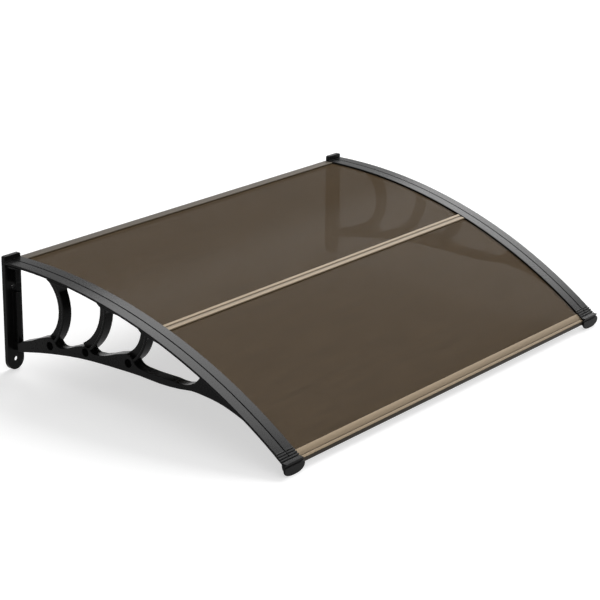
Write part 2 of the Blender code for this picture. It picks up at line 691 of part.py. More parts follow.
def front_rail_section():
    """Front rail: a grooved lip over the sheet, an upright front face and a foot under the sheet."""
    core, groove, wall = RAIL_CORE / 2, FRONT_RAIL_GROOVE, RAIL_WALL
    bottom, nose = RAIL_FOOT_TOP + wall, front_face(0.0)[0]
    return [
        (-FRONT_RAIL_LIP, RAIL_TOP), (groove, RAIL_TOP), (groove, RAIL_TOP + wall / 2),
        (groove + wall, RAIL_TOP + wall / 2), (groove + wall, RAIL_TOP),
        (nose - wall / 2, RAIL_TOP), front_face(wall / 2), front_face(FRONT_RAIL_FACE),
        (nose + wall, bottom), (-RAIL_FOOT, bottom),
        (-RAIL_FOOT, RAIL_FOOT_TOP), (-core, RAIL_FOOT_TOP), (-core, RAIL_LIP_UNDER),
        (-FRONT_RAIL_LIP, RAIL_LIP_UNDER),
    ]


def front_rail_hollow():
    """The open chamber behind the front face of the front rail."""
    angle, nose = angle_at(FRONT_RAIL_S), front_face(0.0)[0]
    top, bottom = RAIL_LIP_UNDER + RAIL_WALL / 2, RAIL_FOOT_TOP - RAIL_WALL / 2
    upper, lower = [
        nose + (depth - RAIL_TOP) * math.tan(angle) - RAIL_WALL / math.cos(angle)
        for depth in (top, bottom)
    ]
    start = RAIL_CORE / 2
    return [(start, top), (upper, top), (lower, bottom), (start, bottom)]


def make_rail(parts, frame, name, station, section, hollows, material):
    """A rail between the brackets, its core running on into their slots."""
    added, removed = new_collection(name + "_forms"), new_collection(name + "_cutters")
    core = RAIL_CORE / 2
    core_top, core_under = FLANGE_THICK + CORE_GAP, SLOT_FLOOR - CORE_GAP
    between = 2 * (SEAM_X - NOSE_HALF - RAIL_END_GAP)
    length = 2 * (SEAM_X - WEB_HALF - CORE_GAP)
    loops = [on_arch(station, loop) for loop in [section] + hollows]
    holder = new_collection(name + "_work")
    base = flat_solid(holder, name + "_section", loops, between)
    half = core - SINK
    tongue = [(-half, core_top), (half, core_top), (half, core_under), (-half, core_under)]
    flat_solid(added, name + "_tongue", [on_arch(station, tongue)], length)
    (s, z), = on_arch(station, [(0.0, CORE_MIDDLE)])
    spot = Matrix.Translation((0.0, -s, z))
    cylinder(removed, name + "_port", PORT_SIZE, 2 * length, spot @ SIDEWAYS, 16)
    combine(base, added, removed)
    mesh = frozen_mesh(base, name)
    clear_work(holder)
    for collection in (added, removed):
        clear_work(collection)
    finish_part(place_mesh(parts, name, mesh, SIDE), frame, material)


def screw_mesh():
    """Pan-head screw turned about Z, its head seat at the origin and its point at -Z."""
    shank, head = SCREW_SHANK / 2, SCREW_HEAD / 2
    crown = SCREW_HEAD_THICK
    profile = [(0.0, crown), (0.7 * head, crown), (head, 0.6 * crown), (head, 0.0), (shank, 0.0),
               (shank, 3 * shank - SCREW_LENGTH), (0.0, -SCREW_LENGTH)]
    mesh = bpy.data.meshes.new("screw_profile")
    edges = [(step, step + 1) for step in range(len(profile) - 1)]
    mesh.from_pydata([(x, 0.0, z) for x, z in profile], edges, [])
    holder = new_collection("screw_work")
    turned = place_mesh(holder, "screw_profile", mesh, Matrix())
    spin = turned.modifiers.new("turn", "SCREW")
    spin.steps = SCREW_STEPS
    spin.render_steps = SCREW_STEPS
    spin.use_merge_vertices = True
    spin.merge_threshold = 0.00001
    solid = frozen_mesh(turned, "rail_screw")
    clear_work(holder)
    return solid


def make_screws(parts, frame, material):
    """A screw through each bracket's web into each end of each rail."""
    mesh = screw_mesh()
    rails = zip(("rear", "middle", "front"), (REAR_RAIL_S, MIDDLE_RAIL_S, FRONT_RAIL_S))
    for rail, station in rails:
        (s, z), = on_arch(station, [(0.0, CORE_MIDDLE)])
        for side, label in ((-1, "left"), (1, "right")):
            seat = side * (SEAM_X + WEB_HALF + SCREW_SEAT_GAP)
            turn = Matrix.Rotation(side * math.pi / 2, 4, "Y")
            spot = Matrix.Translation((seat, -s, z)) @ turn
            finish_part(place_mesh(parts, f"{rail}_rail_screw_{label}", mesh, spot), frame, material)


def finish_part(solid, frame, material):
    """Hang a part on the canopy's frame and give it its material and shading."""
    solid.parent = frame
    solid.data.materials.clear()
    solid.data.materials.append(material)
    shade(solid)


def build():
    """Model the canopy."""
    for old in list(bpy.data.objects):
        bpy.data.objects.remove(old)
    parts = new_collection("door_canopy")
    plastic = new_material("bracket_plastic", (0.014, 0.014, 0.015), 0.45, 0.0)
    sheet = new_material("bronze_sheet", (0.10, 0.075, 0.052), 0.15, 0.0, 0.85)
    metal = new_material("champagne_aluminium", (0.38, 0.28, 0.19), 0.35, 0.9)
    steel = new_material("zinc_steel", (0.45, 0.45, 0.44), 0.4, 1.0)
    frame = bpy.data.objects.new("canopy_frame", None)
    parts.objects.link(frame)
    frame.location = (0.0, DEPTH / 2, CAP_DROP - nose_top())
    bracket = bracket_mesh()
    for side, name in ((-1, "bracket_left"), (1, "bracket_right")):
        spot = Matrix.Translation((side * SEAM_X, 0.0, 0.0))
        finish_part(place_mesh(parts, name, bracket, spot), frame, plastic)
    make_sheets(parts, frame, sheet)
    rails = (
        ("rear_rail", REAR_RAIL_S, rear_rail_section(), []),
        ("middle_rail", MIDDLE_RAIL_S, middle_rail_section(), []),
        ("front_rail", FRONT_RAIL_S, front_rail_section(), [front_rail_hollow()]),
    )
    for name, station, section, hollows in rails:
        make_rail(parts, frame, name, station, section, hollows, metal)
    make_screws(parts, frame, steel)


build()
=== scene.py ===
"""Looks of a door canopy: two black moulded brackets, bronze twin-wall sheets, champagne rails.

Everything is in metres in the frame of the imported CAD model: +Z is up, +X runs along the wall and
the wall stands on the +Y side. Lengths that the frame holds are read from it.
"""

from __future__ import annotations

import logging
import math
from dataclasses import dataclass, field
from enum import Enum
from typing import Sequence, Union

import bmesh
import bpy
import numpy as np
from mathutils import Matrix, Vector
from mathutils.geometry import tessellate_polygon


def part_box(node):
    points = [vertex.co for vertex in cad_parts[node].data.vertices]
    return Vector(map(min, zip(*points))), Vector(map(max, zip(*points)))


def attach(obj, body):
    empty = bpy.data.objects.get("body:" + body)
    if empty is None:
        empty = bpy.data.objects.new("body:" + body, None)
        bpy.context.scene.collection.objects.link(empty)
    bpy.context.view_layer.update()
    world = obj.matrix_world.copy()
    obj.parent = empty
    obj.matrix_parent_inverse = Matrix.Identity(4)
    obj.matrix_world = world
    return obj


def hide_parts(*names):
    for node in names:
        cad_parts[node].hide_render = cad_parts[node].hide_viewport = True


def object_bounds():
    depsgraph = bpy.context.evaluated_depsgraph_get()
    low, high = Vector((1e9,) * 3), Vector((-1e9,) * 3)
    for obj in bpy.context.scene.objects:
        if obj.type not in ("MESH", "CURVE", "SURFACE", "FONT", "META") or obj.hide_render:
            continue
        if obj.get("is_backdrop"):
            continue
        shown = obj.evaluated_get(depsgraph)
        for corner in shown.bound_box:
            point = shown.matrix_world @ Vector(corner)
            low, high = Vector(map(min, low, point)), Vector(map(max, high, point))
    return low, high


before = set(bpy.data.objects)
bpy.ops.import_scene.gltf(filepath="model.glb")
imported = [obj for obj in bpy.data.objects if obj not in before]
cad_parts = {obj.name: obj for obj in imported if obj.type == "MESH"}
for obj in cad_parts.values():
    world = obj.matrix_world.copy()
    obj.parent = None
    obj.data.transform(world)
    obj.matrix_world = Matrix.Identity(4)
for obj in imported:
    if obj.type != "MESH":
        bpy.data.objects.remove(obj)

LOG = logging.getLogger("door_canopy")
PHOTO_WIDTH = 600

# Sizes of the CAD model that its boxes don't tell: the sheets, the brackets' flanges and slots, the
# sheets' depth below the top of the arch, and how far the wall plates stand over its crest.
SHEET_THICK = 0.005
FLANGE_THICK = 0.004
SLOT_HEIGHT = 0.0055
SHEET_TOP = FLANGE_THICK + (SLOT_HEIGHT - SHEET_THICK) / 2
PLATE_RISE = 0.011

Array = np.ndarray
Color = tuple[float, float, float]
Outline = Sequence[tuple[float, float]]


class Slot(Enum):
    """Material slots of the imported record."""

    PLASTIC = "bracket_plastic"
    SHEET = "bronze_sheet"
    METAL = "champagne_aluminium"
    STEEL = "zinc_steel"


class Side(Enum):
    """Ends of the canopy, as the direction of each along X."""

    LEFT = -1
    RIGHT = 1


@dataclass(frozen=True)
class Arch:
    """Circle that the brackets, the sheets and the rails follow.

    s is the distance out from the wall, and depth is measured from the top of the arch inwards.
    """

    reach: float
    wall_y: float
    crest_z: float
    crest_s: float = 0.0074
    fall: float = 0.2678

    @property
    def radius(self) -> float:
        """Radius of the top of the arch: from its chord and its fall to the front edge."""
        run = self.reach - self.crest_s
        return (run ** 2 + self.fall ** 2) / (2 * self.fall)

    def angle_at(self, s: float, depth: float = 0.0) -> float:
        """Angle from the crest at which the arch, at a depth, is s from the wall."""
        return math.asin((s - self.crest_s) / (self.radius - depth))

    def place(self, angle: Array, depth: Array) -> Array:
        """Points of the arch: y = wall - s and z on a circle of radius R - depth.

        Args:
            angle: Angles from the crest.
            depth: Depths below the top, of the same shape or one that broadcasts.

        Returns:
            The y and z of each point, along a new last axis.
        """
        radius = self.radius - depth
        y = self.wall_y - self.crest_s - radius * np.sin(angle)
        z = self.crest_z - self.radius + radius * np.cos(angle)
        return np.stack(np.broadcast_arrays(y, z), axis=-1)

    def from_center(self, points: Array) -> tuple[Array, Array]:
        """Distance of each point, shape (points, 3), away from the wall and up from the centre."""
        out = self.wall_y - self.crest_s - points[:, 1]
        return out, points[:, 2] - (self.crest_z - self.radius)

    def depth_of(self, points: Array) -> Array:
        """Depth of each point below the top of the arch."""
        return self.radius - np.hypot(*self.from_center(points))

    def length_to(self, points: Array) -> Array:
        """Length along the top of the arch from its crest to each point: R times the angle."""
        return np.arctan2(*self.from_center(points)) * self.radius

    def section(self, station: float, outline: Array) -> Array:
        """Lays a flat section on the arch, its core square to it.

        Args:
            station: Distance from the wall to the section's own origin.
            outline: Points given forward along the arch and down into it.

        Returns:
            The y and z of each point: origin + along * forward + depth * down.
        """
        angle = self.angle_at(station)
        forward = np.array([-math.cos(angle), -math.sin(angle)])
        down = np.array([math.sin(angle), -math.cos(angle)])
        origin = self.place(np.array(angle), np.array(0.0))
        return origin + outline[:, :1] * forward + outline[:, 1:] * down


def rounded(outline: Outline, radius: float, steps: int = 4, most: float = 0.49) -> Array:
    """Rounds every corner of a closed outline.

    With u and v the unit directions from a corner to its neighbours and h half the angle between
    them, the arc runs from t u to t v about a centre on the bisector, where t = r / tan h. It turns
    by a = pi - 2 h, and the point at a share w of it lies from that centre at
    (sin((1 - w) a) start + sin(w a) end) / sin a.

    Args:
        outline: Corners in order.
        radius: Largest radius; a short side takes a smaller one.
        steps: Segments of each arc.
        most: Largest share of a side that an arc takes.

    Returns:
        The rounded outline, steps + 1 points a corner.
    """
    corner = np.array(outline)
    back = np.roll(corner, 1, axis=0) - corner
    ahead = np.roll(corner, -1, axis=0) - corner
    back_run = np.linalg.norm(back, axis=1, keepdims=True)
    ahead_run = np.linalg.norm(ahead, axis=1, keepdims=True)
    u, v = back / back_run, ahead / ahead_run
    half = np.arccos(np.clip((u * v).sum(axis=1, keepdims=True), -1.0, 1.0)) / 2
    tangent = np.minimum(radius / np.tan(half), most * np.minimum(back_run, ahead_run))
    bisector = (u + v) / np.linalg.norm(u + v, axis=1, keepdims=True)
    center = corner + bisector * tangent / np.cos(half)
    start, end = corner + tangent * u - center, corner + tangent * v - center
    turn = math.pi - 2 * half[:, None]
    share = np.linspace(0.0, 1.0, steps + 1)[None, :, None]
    blend = np.sin((1 - share) * turn) * start[:, None] + np.sin(share * turn) * end[:, None]
    return (center[:, None] + blend / np.sin(turn)).reshape(-1, 2)


class Surface:
    """Rings of points gathered as whole arrays and put into one mesh."""

    def __init__(self) -> None:
        """Starts with no points."""
        self._points: list[Array] = []
        self._faces: list[list[int]] = []
        self._count = 0

    def rings(self, points: Array) -> Array:
        """Adds closed rings of points, each joined to the next by quads.

        Args:
            points: Shape (rings, points of a ring, 3).

        Returns:
            The index of each point in the mesh, shape (rings, points of a ring).
        """
        count, around = points.shape[:2]
        index = self._count + np.arange(count * around).reshape(count, around)
        self._points.append(points.reshape(-1, 3))
        self._count += count * around
        self.join(np.concatenate([index, index[:, :1]], axis=1))
        return index

    def tube(self, section: Array, stations: tuple[float, float]) -> Array:
        """Adds a closed section carried along X: point (x_i, y_j, z_j) at station i and corner j.

        Args:
            section: The y and z of each corner.
            stations: The x of both ends.

        Returns:
            The index of each point in the mesh, shape (2 ends, corners).
        """
        rows = np.broadcast_to(section, (len(stations), *section.shape))
        x = np.broadcast_to(np.array(stations)[:, None, None], (*rows.shape[:2], 1))
        return self.rings(np.concatenate([x, rows], axis=-1))

    def join(self, index: Array) -> None:
        """Adds a quad for each cell of a grid of point indices."""
        quads = np.stack([index[:-1, :-1], index[:-1, 1:], index[1:, 1:], index[1:, :-1]], axis=-1)
        self._faces += quads.reshape(-1, 4).tolist()

    def cap(self, ring: Array) -> None:
        """Closes a ring of point indices with one flat face."""
        self._faces.append(ring.tolist())

    def pierced_cap(self, rings: Sequence[Array]) -> None:
        """Closes a flat end at one x with triangles.

        Args:
            rings: Point indices of the outer ring, then of the hollows within it.
        """
        points, index = np.concatenate(self._points), np.concatenate(rings)
        triangles = tessellate_polygon([points[ring, 1:].tolist() for ring in rings])
        self._faces += index[np.array(triangles)].tolist()

    def mesh(self, name: str, sharp: float = 30.0) -> bpy.types.Mesh:
        """Puts the gathered surface into a mesh, its faces pointing out.

        Args:
            name: Name of the mesh.
            sharp: Angle in degrees from which an edge stays sharp.

        Returns:
            The mesh, shaded smooth between its sharp edges.
        """
        mesh = bpy.data.meshes.new(name)
        mesh.from_pydata(np.concatenate(self._points).tolist(), [], self._faces)
        merge(mesh, outwards=True)
        mesh.set_sharp_from_angle(angle=math.radians(sharp))
        return mesh


def merge(mesh: bpy.types.Mesh, outwards: bool, apart: float = 1e-6) -> None:
    """Merges the doubles of a mesh and shades it smooth.

    Args:
        mesh: The mesh to change.
        outwards: Whether its faces have to be turned to point out.
        apart: Distance under which two points are one.
    """
    work = bmesh.new()
    work.from_mesh(mesh)
    bmesh.ops.remove_doubles(work, verts=work.verts, dist=apart)
    if outwards:
        bmesh.ops.recalc_face_normals(work, faces=work.faces)
    work.to_mesh(mesh)
    work.free()
    mesh.shade_smooth()


def read(items: bpy.types.bpy_prop_collection, name: str, width: int = 3,
         kind: type = float) -> Array:
    """Reads one property of a mesh's vertices, corners or faces.

    Args:
        items: The mesh's collection of them.
        name: Name of the property.
        width: Numbers that it has for each.
        kind: Type of these numbers.

    Returns:
        The numbers, shape (items, width).
    """
    values = np.empty(len(items) * width, dtype=kind)
    items.foreach_get(name, values)
    return values.reshape(-1, width)


def show(name: str, mesh: bpy.types.Mesh, finish: bpy.types.Material) -> bpy.types.Object:
    """Puts a finished mesh in the scene in place of the CAD node of its name.

    Args:
        name: CAD node that the piece stands for.
        mesh: Its mesh, already in place.
        finish: Material of the whole piece.

    Returns:
        The piece's object, at the origin.
    """
    mesh.materials.clear()
    mesh.materials.append(finish)
    piece = bpy.data.objects.new(name + "_look", mesh)
    bpy.context.scene.collection.objects.link(piece)
    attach(piece, "root")
    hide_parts(name)
    LOG.info("%s: %d faces", name, len(mesh.polygons))
    return piece


Value = Union["Wire", float]


class Wire:
    """An output socket whose arithmetic adds Math nodes to its tree."""

    def __init__(self, nodes: "Nodes", socket: bpy.types.NodeSocket) -> None:
        """Wraps a socket of a tree."""
        self.nodes = nodes
        self.socket = socket

    def _math(self, operation: str, first: Value, second: Value) -> "Wire":
        """A Math node on two values."""
        return self.nodes.add("ShaderNodeMath", {"operation": operation}, {0: first, 1: second})

    def __add__(self, other: Value) -> "Wire":
        """Sum."""
        return self._math("ADD", self, other)

    def __radd__(self, other: Value) -> "Wire":
        """Sum, with the number first."""
        return self._math("ADD", other, self)

    def __sub__(self, other: Value) -> "Wire":
        """Difference."""
        return self._math("SUBTRACT", self, other)

    def __rsub__(self, other: Value) -> "Wire":
        """Difference, with the number first."""
        return self._math("SUBTRACT", other, self)

    def __mul__(self, other: Value) -> "Wire":
        """Product."""
        return self._math("MULTIPLY", self, other)

    def __rmul__(self, other: Value) -> "Wire":
        """Product, with the number first."""
        return self._math("MULTIPLY", other, self)

    def spread(self, width: float) -> "Wire":
        """A noise between 0 and 1 laid about 0, with a width from its lowest to its highest."""
        return width * (self - 0.5)

    def above(self, level: float, width: float) -> "Wire":
        """0 below a level, 1 above it, and a smooth step of a width between."""
        limits = {"Value": self, "From Min": level - width / 2, "From Max": level + width / 2}
        return self.nodes.add("ShaderNodeMapRange", {"interpolation_type": "SMOOTHSTEP"}, limits)


class Nodes:
    """Node tree of one material or world."""

    def __init__(self, tree: bpy.types.NodeTree) -> None:
        """Takes an empty tree."""
        self.tree = tree

    def add(self, kind: str, settings: dict | None = None, values: dict | None = None,
            output: int | str = 0) -> Wire:
        """Adds a node.

        Args:
            kind: Blender's name of the node type.
            settings: Its own properties, set first.
            values: A number, colour or Wire for each named or numbered input.
            output: Socket to wrap.

        Returns:
            The chosen output, or the input of a node that ends a tree.
        """
        node = self.tree.nodes.new(kind)
        for name, setting in (settings or {}).items():
            setattr(node, name, setting)
        for name, value in (values or {}).items():
            self.plug(value, node.inputs[name])
        sockets = node.outputs if len(node.outputs) else node.inputs
        return Wire(self, sockets[output])

    def plug(self, value: object, socket: bpy.types.NodeSocket) -> None:
        """Sets an input, or links a Wire to it.

        Args:
            value: A Wire, a number, a vector, or a colour without its alpha.
            socket: The input.
        """
        if isinstance(value, Wire):
            self.tree.links.new(value.socket, socket)
        elif isinstance(value, tuple) and len(value) == 3 and socket.type == "RGBA":
            socket.default_value = (*value, 1.0)
        else:
            socket.default_value = value

    def place_of(self, scale: tuple[float, float, float] = (1.0, 1.0, 1.0)) -> Wire:
        """Object coordinates, scaled along each axis."""
        place = self.add("ShaderNodeTexCoord", output="Object")
        return self.add("ShaderNodeMapping", values={"Vector": place, "Scale": scale})

    def noise(self, place: Wire, scale: float, detail: float = 2.0, rough: float = 0.5) -> Wire:
        """Noise between 0 and 1 over a place, with a scale in cycles a metre."""
        values = {"Vector": place, "Scale": scale, "Detail": detail, "Roughness": rough}
        return self.add("ShaderNodeTexNoise", None, values, "Fac")

    def mix(self, factor: Value, first: Color | Wire, second: Color | Wire,
            blend: str = "MIX") -> Wire:
        """A colour mixed of two, which are the node's inputs 6 and 7 and its output 2."""
        settings = {"data_type": "RGBA", "blend_type": blend}
        return self.add("ShaderNodeMix", settings, {0: factor, 6: first, 7: second}, 2)

    def bump(self, height: Wire, strength: float, distance: float) -> Wire:
        """A normal that follows a height."""
        values = {"Height": height, "Strength": strength, "Distance": distance}
        return self.add("ShaderNodeBump", None, values, "Normal")


def empty_material(name: str) -> tuple[bpy.types.Material, Nodes]:
    """Makes a material without nodes.

    Args:
        name: Name of the material.

    Returns:
        The material and its node tree.
    """
    material = bpy.data.materials.new(name)
    material.use_nodes = True
    material.node_tree.nodes.clear()
    return material, Nodes(material.node_tree)


def principled(material: bpy.types.Material, nodes: Nodes, values: dict) -> bpy.types.Material:
    """Ends a material with a Principled shader.

    Args:
        material: The material.
        nodes: Its node tree.
        values: The shader's inputs.

    Returns:
        The same material.
    """
    shader = nodes.add("ShaderNodeBsdfPrincipled", None, values)
    nodes.add("ShaderNodeOutputMaterial", None, {"Surface": shader})
    LOG.info("finish %s", material.name)
    return material


@dataclass(frozen=True)
class MouldedPlastic:
    """Black plastic with a fine moulded grain and a faint bloom where it has been handled.

    grain, mottle and bloom are noises, each in cycles a metre, and a spread is the roughness that
    one adds from its lowest to its highest.
    """

    dark: Color = (0.0025, 0.0025, 0.0027)
    worn: Color = (0.0065, 0.0064, 0.0062)
    grain: float = 2600.0
    grain_strength: float = 0.12
    grain_height: float = 0.00004
    mottle: float = 260.0
    mottle_spread: float = 0.10
    bloom: float = 9.0
    bloom_spread: float = 0.08
    bloom_share: float = 0.6
    roughness: float = 0.28
    specular: float = 0.075

    def material(self) -> bpy.types.Material:
        """Makes the finish: grain as bump, mottle and bloom in colour and roughness.

        Returns:
            The material.
        """
        material, nodes = empty_material("moulded_black")
        place = nodes.place_of()
        grain = nodes.noise(place, self.grain)
        mottle = nodes.noise(place, self.mottle, detail=3.0, rough=0.6)
        bloom = nodes.noise(place, self.bloom)
        wear = bloom * self.bloom_share + mottle * (1.0 - self.bloom_share)
        return principled(material, nodes, {
            "Base Color": nodes.mix(wear, self.dark, self.worn),
            "Roughness": (self.roughness + mottle.spread(self.mottle_spread)
                          + bloom.spread(self.bloom_spread)),
            "Specular IOR Level": self.specular,
            "Normal": nodes.bump(grain, self.grain_strength, self.grain_height),
        })


@dataclass(frozen=True)
class BronzeSheet:
    """Bronze polycarbonate whose faces each let part of the light through.

    drawn is the scale of its streaks along X and along the arch, and haze that of its clouding.
    """

    color: Color = (0.093, 0.0640, 0.0365)
    streak: Color = (0.073, 0.0503, 0.0287)
    drawn: tuple[float, float, float] = (6.0, 140.0, 1.0)
    streak_level: float = 0.5
    streak_edge: float = 0.34
    streak_spread: float = 0.06
    haze: float = 7.0
    haze_spread: float = 0.08
    skin_opacity: float = 0.82
    flute_opacity: float = 0.15
    roughness: float = 0.20
    specular: float = 0.003

    def skin(self) -> bpy.types.Material:
        """Material of a sheet's outer faces, which hold back most of the light."""
        return self.material("bronze_skin", self.skin_opacity)

    def flute(self) -> bpy.types.Material:
        """Material of the faces around the flutes, which show only faintly through the skin."""
        return self.material("bronze_flute", self.flute_opacity)

    def material(self, name: str, opacity: float) -> bpy.types.Material:
        """Makes a finish with drawn streaks along the flutes in colour and roughness.

        Args:
            name: Name of the material.
            opacity: Share of the light that one face holds back.

        Returns:
            The material.
        """
        material, nodes = empty_material(name)
        flat = nodes.add("ShaderNodeUVMap", {"uv_map": "along_the_arch"})
        drawn = nodes.add("ShaderNodeMapping", values={"Vector": flat, "Scale": self.drawn})
        streaks = nodes.noise(drawn, 1.0, detail=4.0, rough=0.6)
        streaks = streaks.above(self.streak_level, self.streak_edge)
        haze = nodes.noise(nodes.place_of(), self.haze)
        return principled(material, nodes, {
            "Base Color": nodes.mix(streaks, self.streak, self.color),
            "Roughness": (self.roughness + streaks.spread(self.streak_spread)
                          + haze.spread(self.haze_spread)),
            "Alpha": opacity,
            "Specular IOR Level": self.specular,
        })


@dataclass(frozen=True)
class AnodisedAluminium:
    """Champagne anodised extrusion with fine die lines along its length.

    die is the scale of its lines along each axis, and cloud that of its clouding.
    """

    light: Color = (0.205, 0.155, 0.097)
    deep: Color = (0.155, 0.115, 0.071)
    die: tuple[float, float, float] = (1.2, 900.0, 900.0)
    line_strength: float = 0.25
    line_height: float = 0.0001
    line_spread: float = 0.14
    line_share: float = 0.6
    cloud: float = 12.0
    cloud_spread: float = 0.06
    metallic: float = 0.65
    roughness: float = 0.48
    specular: float = 0.2

    def material(self) -> bpy.types.Material:
        """Makes the finish: die lines along X in colour, roughness and bump, and a rail's tone with
        the light and shade painted on its faces.

        Returns:
            The material.
        """
        material, nodes = empty_material("champagne_anodised")
        lines = nodes.noise(nodes.place_of(self.die), 1.0, detail=3.0, rough=0.6)
        cloud = nodes.noise(nodes.place_of(), self.cloud)
        shade = lines * self.line_share + cloud * (1.0 - self.line_share)
        color = nodes.mix(shade, self.deep, self.light)
        # Each rail's tone with painted light and shade: lighter lit tops, darker sides and grooves.
        tone = nodes.add("ShaderNodeAttribute", {"attribute_name": "tone"}, None, "Color")
        return principled(material, nodes, {
            "Base Color": nodes.mix(1.0, color, tone, "MULTIPLY"),
            "Metallic": self.metallic,
            "Specular IOR Level": self.specular,
            "Roughness": (self.roughness + lines.spread(self.line_spread)
                          + cloud.spread(self.cloud_spread)),
            "Normal": nodes.bump(lines, self.line_strength, self.line_height),
        })


@dataclass(frozen=True)
class ZincSteel:
    """Bright zinc plating, slightly clouded."""

    bright: Color = (0.62, 0.61, 0.58)
    dull: Color = (0.42, 0.41, 0.40)
    cloud: float = 900.0
    cloud_spread: float = 0.2
    cloud_strength: float = 0.1
    cloud_height: float = 0.00005
    roughness: float = 0.3

    def material(self) -> bpy.types.Material:
        """Makes the finish: clouded plating in colour, roughness and bump.

        Returns:
            The material.
        """
        material, nodes = empty_material("zinc_plating")
        cloud = nodes.noise(nodes.place_of(), self.cloud, detail=3.0, rough=0.6)
        return principled(material, nodes, {
            "Base Color": nodes.mix(cloud, self.dull, self.bright),
            "Metallic": 1.0,
            "Roughness": self.roughness + cloud.spread(self.cloud_spread),
            "Normal": nodes.bump(cloud, self.cloud_strength, self.cloud_height),
        })


@dataclass
class Brackets:
    """The two moulded brackets, with their edges broken as a mould leaves them."""

    finish: bpy.types.Material
    edge: float = 0.0004
    edge_steps: int = 2
    crease: float = 28.0
    names: tuple[str, ...] = ("bracket_left", "bracket_right")

    def build(self) -> None:
        """Copies each CAD bracket, merges its corners and rounds its edges."""
        for name in self.names:
            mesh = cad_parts[name].data.copy()
            mesh.name = name + "_look"
            merge(mesh, outwards=False)
            self.break_edges(show(name, mesh, self.finish))

    def break_edges(self, piece: bpy.types.Object) -> None:
        """Adds the small radius that a mould leaves on every edge.

        Args:
            piece: A bracket.
        """
        bevel = piece.modifiers.new("broken_edges", "BEVEL")
        bevel.width = self.edge
        bevel.segments = self.edge_steps
        bevel.limit_method = "ANGLE"
        bevel.angle_limit = math.radians(self.crease)
        bevel.use_clamp_overlap = False
        bevel.miter_outer = "MITER_ARC"
        normals = piece.modifiers.new("even_shading", "WEIGHTED_NORMAL")
        normals.keep_sharp = False


